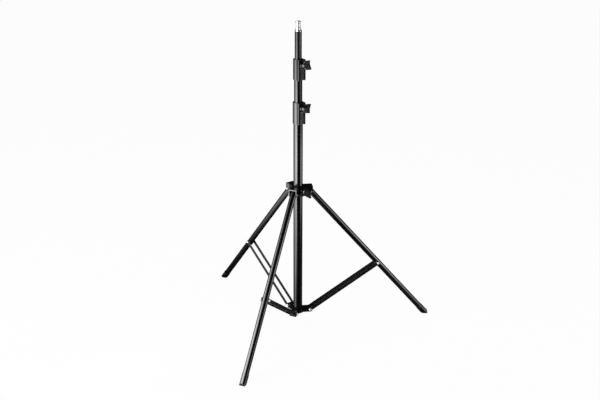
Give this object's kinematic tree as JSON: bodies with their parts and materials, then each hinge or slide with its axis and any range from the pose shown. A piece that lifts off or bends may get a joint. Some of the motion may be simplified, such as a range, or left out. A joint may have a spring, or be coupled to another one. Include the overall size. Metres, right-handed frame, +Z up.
{
  "type": "light stand",
  "caption": "Telescoping light stand with folding tripod legs on flat braces, clamp collars with wing knobs, and a plain metal stud at the top.",
  "frame": {"origin": "centre of the mast's bottom face", "axes": "+Z up along the mast, +X towards the right leg; the back leg is 120 degrees round from it and the front leg 240"},
  "size_m": [0.6857, 0.7918, 1.0168],
  "materials": {
    "tube": "black anodised, satin",
    "plastic": "moulded black, slightly glossy",
    "knob": "moulded black, satin",
    "strip": "black paint on steel strip",
    "rubber": "matte black",
    "nylon": "natural nylon",
    "nickel": "nickel plate over turned steel",
    "rivet": "bright plated",
    "steel": "zinc plated",
    "dark_steel": "blackened"
  },
  "bodies": {
    "mast": {"lower_tube": "tube", "mast_bottom_plug": "plastic", "lower_spider": "plastic", "lower_spider_fixing_screw": "dark_steel", "lower_collar": "plastic", "lower_collar_fixing_screw": "dark_steel", "lower_collar_pressure_pad": "nylon", "right_brace_lower_pin": "rivet", "back_brace_lower_pin": "rivet", "front_brace_lower_pin": "rivet"},
    "middle_section": {"middle_tube": "tube", "middle_glide_bush": "nylon", "upper_collar": "plastic", "upper_collar_fixing_screw": "dark_steel", "upper_collar_pressure_pad": "nylon"},
    "top_section": {"top_tube": "tube", "top_glide_bush": "nylon", "spigot": "nickel", "spigot_cross_pin": "steel"},
    "lower_knob": {"lower_knob": "knob", "lower_clamp_screw": "steel"},
    "upper_knob": {"upper_knob": "knob", "upper_clamp_screw": "steel"},
    "hub_knob": {"hub_knob": "knob", "hub_clamp_screw": "steel"},
    "leg_hub": {"leg_hub": "plastic", "leg_hub_pressure_pad": "nylon", "right_leg_pivot_bolt": "steel", "back_leg_pivot_bolt": "steel", "front_leg_pivot_bolt": "steel"},
    "right_leg": {"right_leg_tube": "tube", "right_leg_top_plug": "plastic", "right_foot": "rubber", "right_brace_saddle": "plastic"},
    "right_brace": {"right_brace_near_strip": "strip", "right_brace_near_rivet": "rivet", "right_brace_far_strip": "strip", "right_brace_far_rivet": "rivet"},
    "back_leg": {"back_leg_tube": "tube", "back_leg_top_plug": "plastic", "back_foot": "rubber", "back_brace_saddle": "plastic"},
    "back_brace": {"back_brace_near_strip": "strip", "back_brace_near_rivet": "rivet", "back_brace_far_strip": "strip", "back_brace_far_rivet": "rivet"},
    "front_leg": {"front_leg_tube": "tube", "front_leg_top_plug": "plastic", "front_foot": "rubber", "front_brace_saddle": "plastic"},
    "front_brace": {"front_brace_near_strip": "strip", "front_brace_near_rivet": "rivet", "front_brace_far_strip": "strip", "front_brace_far_rivet": "rivet"}
  },
  "joints": [
    {"name": "middle_slide", "type": "slide", "parent": "mast", "child": "middle_section", "axis": [0, 0, 1], "range_m": [-0.069, 0.5]},
    {"name": "top_slide", "type": "slide", "parent": "middle_section", "child": "top_section", "axis": [0, 0, 1], "range_m": [-0.082, 0.55]},
    {"name": "hub_slide", "type": "slide", "parent": "mast", "child": "leg_hub", "axis": [0, 0, 1], "range_m": [0, 0.204]},
    {"name": "lower_knob_turn", "type": "hinge", "parent": "mast", "child": "lower_knob", "pos_m": [0, 0, 0.7058], "axis": [0.4851, -0.8403, 0.2419], "range_deg": [0, 720]},
    {"name": "upper_knob_turn", "type": "hinge", "parent": "middle_section", "child": "upper_knob", "pos_m": [0, 0, 0.8418], "axis": [0.4851, -0.8403, 0.2419], "range_deg": [0, 720]},
    {"name": "hub_knob_turn", "type": "hinge", "parent": "leg_hub", "child": "hub_knob", "pos_m": [0, 0, 0.4395], "axis": [0.5, -0.866, 0], "range_deg": [0, 720]},
    {"name": "right_leg_fold", "type": "hinge", "parent": "leg_hub", "child": "right_leg", "pos_m": [0.04, 0, 0.4335], "axis": [0, 1, 0], "range_deg": [0, 35.92]},
    {"name": "right_brace_fold", "type": "hinge", "parent": "mast", "child": "right_brace", "pos_m": [0.04, 0, 0.009], "axis": [0, 1, 0], "range_deg": [-49.5, 0]},
    {"name": "back_leg_fold", "type": "hinge", "parent": "leg_hub", "child": "back_leg", "pos_m": [-0.02, 0.03464, 0.4335], "axis": [-0.866, -0.5, 0], "range_deg": [0, 35.92]},
    {"name": "back_brace_fold", "type": "hinge", "parent": "mast", "child": "back_brace", "pos_m": [-0.02, 0.03464, 0.009], "axis": [-0.866, -0.5, 0], "range_deg": [-49.5, 0]},
    {"name": "front_leg_fold", "type": "hinge", "parent": "leg_hub", "child": "front_leg", "pos_m": [-0.02, -0.03464, 0.4335], "axis": [0.866, -0.5, 0], "range_deg": [0, 35.92]},
    {"name": "front_brace_fold", "type": "hinge", "parent": "mast", "child": "front_brace", "pos_m": [-0.02, -0.03464, 0.009], "axis": [0.866, -0.5, 0], "range_deg": [-49.5, 0]}
  ],
  "couplings": [
    {"joint": "right_leg_fold", "follows": "hub_slide", "rad_per_m": 3.0725},
    {"joint": "right_brace_fold", "follows": "hub_slide", "rad_per_m": -4.234},
    {"joint": "back_leg_fold", "follows": "hub_slide", "rad_per_m": 3.0725},
    {"joint": "back_brace_fold", "follows": "hub_slide", "rad_per_m": -4.234},
    {"joint": "front_leg_fold", "follows": "hub_slide", "rad_per_m": 3.0725},
    {"joint": "front_brace_fold", "follows": "hub_slide", "rad_per_m": -4.234}
  ]
}
